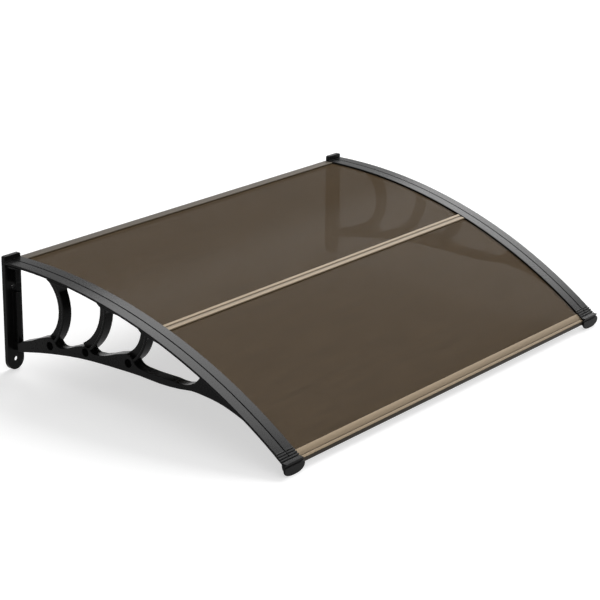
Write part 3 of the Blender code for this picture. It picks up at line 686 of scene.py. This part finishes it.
@dataclass
class TwinWallSheets:
    """Two bowed twin-wall sheets, each wall a little hollow between its ribs."""

    arch: Arch
    skin: bpy.types.Material
    flute: bpy.types.Material
    wall: float = 0.0005
    rib: float = 0.0005
    pitch: float = 0.0062
    hollow: float = 0.00004
    cell_steps: int = 6
    names: tuple[str, ...] = ("rear_panel", "front_panel")

    def build(self) -> None:
        """Builds both sheets in the places of their CAD nodes."""
        for name in self.names:
            mesh = self.sheet(name)
            self.map_flat(mesh)
            show(name, mesh, self.skin)
            self.clear_flutes(mesh)

    def map_flat(self, mesh: bpy.types.Mesh) -> None:
        """Gives a sheet a UV map in metres: u is x, and v the length along the arch.

        Args:
            mesh: The sheet's mesh.
        """
        points = read(mesh.vertices, "co")
        corner = read(mesh.loops, "vertex_index", 1, np.int32)[:, 0]
        flat = np.stack([points[:, 0], self.arch.length_to(points)], axis=-1)
        layer = mesh.uv_layers.new(name="along_the_arch")
        layer.data.foreach_set("uv", flat[corner].ravel())

    def clear_flutes(self, mesh: bpy.types.Mesh) -> None:
        """Gives the faces that lie within the sheet's thickness the flutes' material.

        Args:
            mesh: The sheet's mesh.
        """
        depth = self.arch.depth_of(read(mesh.polygons, "center")) - SHEET_TOP
        within = (depth > self.wall / 2) & (depth < SHEET_THICK - self.wall / 2)
        mesh.materials.append(self.flute)
        mesh.polygons.foreach_set("material_index", within.astype(np.int32))

    def sheet(self, name: str) -> bpy.types.Mesh:
        """Builds one sheet: its outer skin carried along X, and a flute through each cell.

        A wall's depth between two ribs is d + hollow * sin(pi t)^2, with t from 0 to 1 over a
        cell, so that the skin dips between the ribs as a drawn sheet does.

        Args:
            name: CAD node that gives the sheet's ends.

        Returns:
            The sheet's mesh.
        """
        low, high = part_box(name)
        first = self.arch.angle_at(self.arch.wall_y - high[1], SHEET_TOP + SHEET_THICK)
        last = self.arch.angle_at(self.arch.wall_y - low[1], SHEET_TOP)
        count = round((last - first) * self.arch.radius / self.pitch)
        share = np.linspace(0.0, 1.0, count * self.cell_steps + 1)
        angle = first + (last - first) * share
        dip = self.hollow * np.sin(math.pi * share * count) ** 2
        upper = self.arch.place(angle, SHEET_TOP + dip)
        lower = self.arch.place(angle, SHEET_TOP + SHEET_THICK - dip)
        surface, span = Surface(), (low[0], high[0])
        skin = surface.tube(np.concatenate([upper, lower[::-1]]), span)
        ribs = first + np.arange(count + 1) * ((last - first) / count)
        self.close_ends(surface, skin, self.flutes(surface, ribs, span))
        return surface.mesh(name + "_look")

    def flutes(self, surface: Surface, ribs: Array, span: tuple[float, float]) -> Array:
        """Adds the flute between each rib and the next, as four walls around it.

        Args:
            surface: Surface that gets them.
            ribs: Angle of each rib; the first and the last lie wholly inside the sheet.
            span: The x of both ends of the sheet.

        Returns:
            Point indices, shape (2 ends, flutes, points of a flute).
        """
        inset = np.full(len(ribs), self.rib / 2 / self.arch.radius)
        inset[[0, -1]] *= 2
        start, end = ribs[:-1] + inset[:-1], ribs[1:] - inset[1:]
        share = np.linspace(0.0, 1.0, self.cell_steps + 1)
        angle = start[:, None] + (end - start)[:, None] * share
        dip = self.hollow * np.sin(math.pi * share) ** 2
        roof = self.arch.place(angle, SHEET_TOP + self.wall + dip)
        bed = self.arch.place(angle, SHEET_TOP + SHEET_THICK - self.wall - dip)
        loops = np.concatenate([roof, bed[:, ::-1]], axis=1)
        return np.stack([surface.tube(loop, span) for loop in loops], axis=1)

    def close_ends(self, surface: Surface, skin: Array, flutes: Array) -> None:
        """Closes both ends between the skin and the flutes, a strip of quads to each wall.

        Args:
            surface: Surface that holds them.
            skin: Point indices of the skin, shape (2 ends, points).
            flutes: Point indices of the flutes, shape (2 ends, flutes, points of a flute).
        """
        steps = self.cell_steps
        for outer, inner in zip(skin, flutes):
            roof, bed = np.split(outer, 2)
            bed = bed[::-1]
            inner_roof, inner_bed = inner[:, :steps + 1], inner[:, :steps:-1]
            for cell in range(len(inner)):
                span = slice(cell * steps, (cell + 1) * steps + 1)
                surface.join(np.stack([roof[span], inner_roof[cell]]))
                surface.join(np.stack([inner_bed[cell], bed[span]]))
            self.close_ribs(surface, roof[::steps], bed[::steps], inner_roof, inner_bed)

    @staticmethod
    def close_ribs(surface: Surface, roof: Array, bed: Array, inner_roof: Array,
                   inner_bed: Array) -> None:
        """Closes the end of each rib, with the small triangles at its head and foot.

        Args:
            surface: Surface that holds the points.
            roof: Index of the point over each rib.
            bed: Index of the point under each rib.
            inner_roof: Indices of the points along the roof of each flute.
            inner_bed: Indices of the points along the bed of each flute.
        """
        for rib in range(1, len(inner_roof)):
            surface.cap(np.array([roof[rib], inner_roof[rib - 1, -1], inner_bed[rib - 1, -1],
                                  bed[rib], inner_bed[rib, 0], inner_roof[rib, 0]]))
        for edge in (0, -1):
            surface.cap(np.array([roof[edge], inner_roof[edge, edge],
                                  inner_bed[edge, edge], bed[edge]]))


@dataclass(frozen=True)
class RailToneAndPaintedShade:
    """A rail's tone and the light and shade painted on its faces, as shares of its finish's colour.

    top is for faces whose normal has a z over a half, painted lighter as lit tops, groove is the
    share of it that sunk ones keep, a painted shade in the groove, and side is for all others, a
    painted shade on the faces turned from the light.
    """

    top: float
    side: float
    groove: float = 0.68

    def paint(self, mesh: bpy.types.Mesh, sunk: Array) -> None:
        """Stores each face's tone and painted light and shade in the attribute that the finish
        reads.

        Args:
            mesh: The rail's mesh.
            sunk: Whether each face lies below the rail's top.
        """
        # Painted light and shade: lit tops lighter, sunk faces in a groove darker, other faces
        # darker.
        upward = read(mesh.polygons, "normal")[:, 2] > 0.5
        tone = np.where(upward, np.where(sunk, self.top * self.groove, self.top), self.side)
        tone = np.repeat(tone, read(mesh.polygons, "loop_total", 1, np.int32)[:, 0])
        layer = mesh.attributes.new("tone", "FLOAT_COLOR", "CORNER")
        color = np.column_stack([tone, tone, tone, np.ones(len(tone))])
        layer.data.foreach_set("color", color.ravel())


@dataclass
class Rails:
    """Three extruded rails, their corners rounded by the die.

    Sections are given forward along the arch and down into it, from the middle of a rail's core.
    """

    arch: Arch
    finish: bpy.types.Material
    wall: float = 0.0014
    core: float = 0.003
    lip_gap: float = 0.00025
    tongue_gap: float = 0.0003
    ridge: float = 0.0014
    corner: float = 0.0004
    rear_station: float = 0.0179
    middle_station: float = 0.4226
    front_back: float = 0.0140
    foot: float = 0.0120
    nose: float = 0.01367
    port: float = 0.0034
    port_steps: int = 24
    sharp: float = 20.0
    # Each rail's tone, its top painted lighter as lit and its other faces darker as painted shade.
    tones_and_painted_shade: dict[str, RailToneAndPaintedShade] = field(default_factory=lambda: {
        "rear_rail": RailToneAndPaintedShade(0.27, 0.20),
        "middle_rail": RailToneAndPaintedShade(0.60, 0.55),
        "front_rail": RailToneAndPaintedShade(0.72, 0.11),
    })

    @property
    def lip_under(self) -> float:
        """Depth of the underside of the lip over a sheet."""
        return SHEET_TOP - self.lip_gap

    @property
    def foot_top(self) -> float:
        """Depth of the top of the foot under a sheet."""
        return SHEET_TOP + SHEET_THICK + self.lip_gap

    @property
    def front_station(self) -> float:
        """Distance from the wall to the front rail's core."""
        return self.arch.reach - self.front_back

    def build(self) -> None:
        """Builds the three rails in the places of their CAD nodes."""
        self.rail("rear_rail", self.rear_station, self.rear_section())
        self.rail("middle_rail", self.middle_station, self.middle_section())
        self.rail("front_rail", self.front_station, self.front_section(), self.front_chamber())

    def rail(self, name: str, station: float, outline: Outline, *chambers: Outline) -> None:
        """Builds a rail: its section carried between the brackets, a tongue into each slot.

        The section ends where the lip of the CAD rail does, which is the part of it that lies
        higher than the slots. A round port for the screws runs from tongue to tongue.

        Args:
            name: CAD node that the rail stands for.
            station: Distance from the wall to the middle of its core.
            outline: Its section.
            chambers: Outlines of the hollows that run from end to end of the section.
        """
        surface = Surface()
        points = read(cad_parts[name].data.vertices, "co")
        inner = float(points[self.arch.depth_of(points) < FLANGE_THICK, 0].max())
        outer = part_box(name)[1][0]
        flat = [rounded(outline, self.corner), *(np.array(chamber) for chamber in chambers)]
        skin, *hollows = [surface.tube(self.arch.section(station, loop), (-inner, inner))
                          for loop in flat]
        port = surface.tube(self.arch.section(station, self.port_circle()), (-outer, outer))
        tongue = self.arch.section(station, rounded(self.tongue_section(), self.corner))
        for end, side in enumerate(Side):
            arm = surface.tube(tongue, (side.value * inner, side.value * outer))
            surface.pierced_cap([skin[end], arm[0], *(hollow[end] for hollow in hollows)])
            surface.pierced_cap([arm[1], port[end]])
        mesh = surface.mesh(name + "_look", self.sharp)
        highest = self.arch.depth_of(read(mesh.vertices, "co")).min()
        depth = self.arch.depth_of(read(mesh.polygons, "center"))
        # Faces sunk below the top, as in a groove, get a painted shade.
        sunk = depth > highest + self.wall / 3  # the shallowest groove is half a wall deep
        self.tones_and_painted_shade[name].paint(mesh, sunk)
        show(name, mesh, self.finish)

    def tongue_section(self) -> Outline:
        """Gives the section of the core where it runs on into a bracket's slot.

        Returns:
            Its corners.
        """
        half = self.core - self.tongue_gap
        top, under = FLANGE_THICK + self.tongue_gap, FLANGE_THICK + SLOT_HEIGHT - self.tongue_gap
        return (-half, top), (half, top), (half, under), (-half, under)

    def port_circle(self) -> Array:
        """Gives the round port in the middle of the core: r (cos t, sin t) about its centre.

        Returns:
            Its points.
        """
        turn = np.linspace(0.0, 2 * math.pi, self.port_steps, endpoint=False)
        middle = FLANGE_THICK + SLOT_HEIGHT / 2
        return np.column_stack([np.cos(turn), np.sin(turn)]) * self.port / 2 + (0.0, middle)

    def rear_section(self) -> Outline:
        """Gives the rear rail a lip over the sheet, a foot under it and a skirt down the wall.

        Returns:
            The corners of its section.
        """
        back, lip, skirt = 0.0174, 0.0070, 0.0115
        top = self.lip_under - self.wall - self.ridge
        wall, core, foot = self.wall, self.core, self.foot
        return (
            (-back, top), (lip - self.ridge, top), (lip, top + self.ridge),
            (lip, self.lip_under), (core, self.lip_under), (core, self.foot_top),
            (foot, self.foot_top), (foot, self.foot_top + wall),
            (-core, self.foot_top + wall), (-core, self.lip_under),
            (wall - back, self.lip_under), (wall - back, top + skirt), (-back, top + skirt),
        )

    def middle_section(self) -> Outline:
        """Gives the middle rail an H section with two raised ridges on its lip.

        Returns:
            The corners of its section.
        """
        half, foot, groove = 0.0107, 0.0090, 0.0026
        top, ridge, core = self.lip_under - self.wall, self.ridge, self.core
        front = (
            (groove, top), (groove, top - ridge), (half - ridge, top - ridge), (half, top),
            (half, self.lip_under), (core, self.lip_under), (core, self.foot_top),
            (foot, self.foot_top), (foot, self.foot_top + self.wall),
        )
        return front + tuple((-along, depth) for along, depth in reversed(front))

    def front_section(self) -> Outline:
        """Gives the front rail a grooved lip, an upright front face and a foot.

        The face runs straight down, which at an angle a along the arch is forward by sin a and
        into the arch by cos a.

        Returns:
            The corners of its section.
        """
        lip, groove, face = 0.0096, 0.0060, 0.0082
        top, wall, core, nose = self.lip_under - self.wall, self.wall, self.core, self.nose
        bottom, half = self.foot_top + wall, wall / 2
        angle = self.arch.angle_at(self.front_station)
        ahead, down = math.sin(angle), math.cos(angle)
        return (
            (-lip, top), (groove, top), (groove, top + half), (groove + wall, top + half),
            (groove + wall, top), (nose - half, top), (nose + half * ahead, top + half * down),
            (nose + face * ahead, top + face * down), (nose + wall, bottom),
            (-self.foot, bottom), (-self.foot, self.foot_top), (-core, self.foot_top),
            (-core, self.lip_under), (-lip, self.lip_under),
        )

    def front_chamber(self) -> Outline:
        """Gives the open chamber of the front rail, between its core and its front face.

        The face's inner side is a wall behind it: at a depth d below the rail's top it lies at
        nose + d tan a - wall / cos a.

        Returns:
            The corners of its section.
        """
        angle = self.arch.angle_at(self.front_station)
        top, bottom = self.lip_under + self.wall / 2, self.foot_top - self.wall / 2
        upper, lower = (self.nose + (depth - self.lip_under + self.wall) * math.tan(angle)
                        - self.wall / math.cos(angle) for depth in (top, bottom))
        return (self.core, top), (upper, top), (lower, bottom), (self.core, bottom)


@dataclass
class RailScrews:
    """Self-tapping screws: a threaded shank with a point and a pan head with a cross recess.

    tip_share is the radius left at the point, of the shank's, bulge_share the rounding of the rim,
    of the crown, and middle the radius of the innermost ring of the head.
    """

    finish: bpy.types.Material
    shank: float = 0.00135
    shank_rings: int = 150
    thread: float = 0.00018
    pitch: float = 0.0011
    tip: float = 0.00405
    tip_share: float = 0.02
    head: float = 0.0024
    crown: float = 0.0018
    bulge_share: float = 0.4
    rim_rings: int = 6
    face_rings: int = 18
    middle: float = 0.00005
    recess: float = 0.0009
    recess_slope: float = 0.00012
    arm: float = 0.00032
    arm_reach: float = 0.00125
    around: int = 36
    sharp: float = 40.0

    def build(self) -> None:
        """Builds each screw in the box of its CAD node, head outwards."""
        for rail in ("rear", "middle", "front"):
            for side in Side:
                name = f"{rail}_rail_screw_{side.name.lower()}"
                show(name, self.screw(name, side), self.finish)

    def screw(self, name: str, side: Side) -> bpy.types.Mesh:
        """Builds a screw along X, its rings running from its point to the middle of its head.

        Args:
            name: CAD node that gives its place and length.
            side: End of the canopy that its head looks to.

        Returns:
            The screw's mesh.
        """
        low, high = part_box(name)
        outer = high[0] if side is Side.RIGHT else low[0]
        length = high[0] - low[0] - self.crown
        out, radius = self.profile(length)
        turn = np.linspace(0.0, 2 * math.pi, self.around, endpoint=False)[None]
        radius = radius + self.thread * self.thread_wave(out, turn, length)
        y, z = radius * np.cos(turn), radius * np.sin(turn)
        out = out - self.recess_depth(y, z, out)
        seat = outer - side.value * self.crown
        center = [(low[axis] + high[axis]) / 2 for axis in (1, 2)]
        points = np.broadcast_arrays(seat + side.value * out, y + center[0], z + center[1])
        surface = Surface()
        rings = surface.rings(np.stack(points, axis=-1))
        surface.cap(rings[0])
        surface.cap(rings[-1])
        return surface.mesh(name + "_look", self.sharp)

    def profile(self, length: float) -> tuple[Array, Array]:
        """Gives the screw's rings: a shank with a point, a head with a quarter round for its rim.

        Args:
            length: Length of the shank.

        Returns:
            The distance outwards from the head's seat and the radius of each ring, as columns.
        """
        shank_out = np.linspace(-length, 0.0, self.shank_rings)
        taper = np.clip((shank_out + length) / self.tip, self.tip_share, 1.0)
        edge = np.linspace(0.0, math.pi / 2, self.rim_rings)
        bulge = self.bulge_share * self.crown
        rim_out = self.crown - bulge + bulge * np.sin(edge)
        rim_radius = self.head - bulge * (1 - np.cos(edge))
        face_radius = np.linspace(rim_radius[-1], self.middle, self.face_rings)[1:]
        face_out = np.full(face_radius.shape, self.crown)
        out = np.concatenate([shank_out, [0.0], rim_out, face_out])
        radius = np.concatenate([self.shank * taper, [self.head], rim_radius, face_radius])
        return out[:, None], radius[:, None]

    def thread_wave(self, out: Array, turn: Array, length: float) -> Array:
        """Gives the height of the thread as a share of its full one.

        It is 1 - 3 |frac(out / pitch + turn) - 1/2|, turn being in turns, kept over 0 and to the
        shank, and it fades in over the first two pitches from the point.

        Args:
            out: Distance of each ring outwards from the head's seat.
            turn: Angle of each point of a ring.
            length: Length of the shank.

        Returns:
            The share at each point, shape (rings, points of a ring).
        """
        phase = (out / self.pitch + turn / (2 * math.pi)) % 1.0
        ridge = np.clip(1.0 - 3.0 * np.abs(phase - 0.5), 0.0, 1.0)
        return np.where(out < 0.0, ridge * np.clip((out + length) / self.pitch / 2, 0.0, 1.0), 0.0)

    def recess_depth(self, y: Array, z: Array, out: Array) -> Array:
        """Gives the depth of the cross recess: full within the cross, sloping at its sides.

        Args:
            y: Distance of each point from the screw's axis, along Y.
            z: The same along Z.
            out: Distance of each ring outwards from the head's seat.

        Returns:
            The depth at each point.
        """
        across, along = np.minimum(abs(y), abs(z)), np.maximum(abs(y), abs(z))
        inside = np.minimum(self.arm - across, self.arm_reach - along) / self.recess_slope
        depth = self.recess * np.clip(inside, 0.0, 1.0)
        return np.where(np.isclose(out, self.crown), depth, 0.0)


@dataclass(frozen=True)
class SoftLight:
    """Broad distant light, its angles in degrees.

    turn is the direction it comes from, round Z from +X, rise its angle above the floor, width the
    angle that it fills as seen from the canopy, and power its irradiance on a surface square to it.
    """

    name: str
    turn: float
    rise: float
    width: float
    power: float

    def build(self) -> None:
        """Adds the lamp."""
        turn, rise = math.radians(self.turn), math.radians(self.rise)
        light = bpy.data.lights.new(self.name, "SUN")
        light.angle = math.radians(self.width)
        light.energy = self.power
        toward = Vector((math.cos(turn) * math.cos(rise), math.sin(turn) * math.cos(rise),
                         math.sin(rise)))
        lamp = bpy.data.objects.new(self.name, light)
        lamp.matrix_world = toward.to_track_quat("Z", "Y").to_matrix().to_4x4()
        bpy.context.scene.collection.objects.link(lamp)


@dataclass
class Studio:
    """Pale floor, two soft lights and the camera of the photograph."""

    focal_pixels: float = 1992.076
    yaw: float = 0.9099130
    pitch: float = 0.3179344
    roll: float = 0.0089483
    eye: tuple[float, float, float] = (-3.4150, -2.6102, 1.5472)
    sensor: float = 36.0
    view_depth: float = 100.0
    floor_reach: float = 40.0
    floor_tone: float = 0.59
    floor_glow: float = 0.58
    ambient: float = 0.26
    lights: tuple[SoftLight, ...] = (
        SoftLight("right_softbox", turn=12.0, rise=42.0, width=39.0, power=2.60),
        SoftLight("front_fill", turn=-90.0, rise=25.0, width=70.0, power=1.20),
    )

    def build(self) -> None:
        """Sets the camera, lays the floor and lights it all."""
        self.set_camera()
        self.lay_floor()
        self.light_world()
        for light in self.lights:
            light.build()
        bpy.context.scene.view_settings.view_transform = "Standard"

    def set_camera(self) -> None:
        """Places the camera by its yaw from +Y, its pitch down and its roll."""
        sight = Vector((math.sin(self.yaw) * math.cos(self.pitch),
                        math.cos(self.yaw) * math.cos(self.pitch), -math.sin(self.pitch)))
        level = Vector((math.cos(self.yaw), -math.sin(self.yaw), 0.0))
        upright = level.cross(sight)
        right = math.cos(self.roll) * level + math.sin(self.roll) * upright
        up = math.cos(self.roll) * upright - math.sin(self.roll) * level
        lens = bpy.data.cameras.new("camera")
        lens.sensor_width = self.sensor
        lens.lens = self.focal_pixels / PHOTO_WIDTH * self.sensor
        lens.clip_end = self.view_depth
        camera = bpy.data.objects.new("camera", lens)
        turn = Matrix((right, up, -sight)).transposed().to_4x4()
        camera.matrix_world = Matrix.Translation(self.eye) @ turn
        bpy.context.scene.collection.objects.link(camera)
        bpy.context.scene.camera = camera

    def lay_floor(self) -> None:
        """Lays the floor under the canopy's four feet: its two noses and its two wall plates."""
        low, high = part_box("bracket_left")
        slope = self.plate_foot(high[1]) / (high[1] - low[1])
        reach = self.floor_reach
        corners = [(x, y, slope * (y - low[1])) for x, y in
                   ((-reach, -reach), (reach, -reach), (reach, reach), (-reach, reach))]
        mesh = bpy.data.meshes.new("floor")
        mesh.from_pydata(corners, [], [(0, 1, 2, 3)])
        mesh.materials.append(self.floor_material())
        floor = bpy.data.objects.new("floor", mesh)
        bpy.context.scene.collection.objects.link(floor)
        floor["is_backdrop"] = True

    @staticmethod
    def plate_foot(wall_y: float, near: float = 0.001) -> float:
        """Height of the lowest point of a bracket that is near the wall."""
        points = read(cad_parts["bracket_left"].data.vertices, "co")
        return float(points[points[:, 1] > wall_y - near, 2].min())

    @staticmethod
    def seen(nodes: Nodes) -> Wire:
        """Tells the rays that show the studio: from the camera, reflected or let through.

        Args:
            nodes: Tree that asks.

        Returns:
            1 for such a ray and 0 for one that only lights.
        """
        camera, glossy, through = (
            nodes.add("ShaderNodeLightPath", output=ray)
            for ray in ("Is Camera Ray", "Is Glossy Ray", "Is Transmission Ray"))
        return nodes.add("ShaderNodeClamp", None, {"Value": camera + glossy + through})

    def floor_material(self) -> bpy.types.Material:
        """Makes a matt white that is seen as pure white and keeps the canopy's shadow.

        Returns:
            The material, which is open from below.
        """
        material, nodes = empty_material("studio_floor")
        plain = nodes.add("ShaderNodeBsdfDiffuse", None, {"Color": (self.floor_tone,) * 3})
        glow = nodes.add("ShaderNodeEmission", None, {"Strength": self.floor_glow})
        shown = nodes.add("ShaderNodeAddShader", None, {0: plain, 1: glow})
        both = nodes.add("ShaderNodeMixShader", None, {0: self.seen(nodes), 1: plain, 2: shown})
        below = nodes.add("ShaderNodeNewGeometry", output="Backfacing")
        clear = nodes.add("ShaderNodeBsdfTransparent")
        open_below = nodes.add("ShaderNodeMixShader", None, {0: below, 1: both, 2: clear})
        nodes.add("ShaderNodeOutputMaterial", None, {"Surface": open_below})
        return material

    def light_world(self) -> None:
        """Makes the world white where it is seen, and softer where it lights."""
        world = bpy.data.worlds.new("studio")
        bpy.context.scene.world = world
        world.use_nodes = True
        world.node_tree.nodes.clear()
        nodes = Nodes(world.node_tree)
        strength = self.ambient + (1.0 - self.ambient) * self.seen(nodes)
        values = {"Color": (1.0, 1.0, 1.0), "Strength": strength}
        light = nodes.add("ShaderNodeBackground", None, values)
        nodes.add("ShaderNodeOutputWorld", None, {"Surface": light})


def main() -> None:
    """Builds the canopy's looks around its CAD frame, then the studio."""
    logging.basicConfig(level=logging.INFO, format="%(name)s: %(message)s")
    cad_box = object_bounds()
    low, high = cad_box
    arch = Arch(reach=high[1] - low[1], wall_y=high[1], crest_z=high[2] - PLATE_RISE)
    Brackets(MouldedPlastic().material()).build()
    bronze = BronzeSheet()
    TwinWallSheets(arch, bronze.skin(), bronze.flute()).build()
    Rails(arch, AnodisedAluminium().material()).build()
    RailScrews(ZincSteel().material()).build()
    Studio().build()


if __name__ == "__main__":
    main()
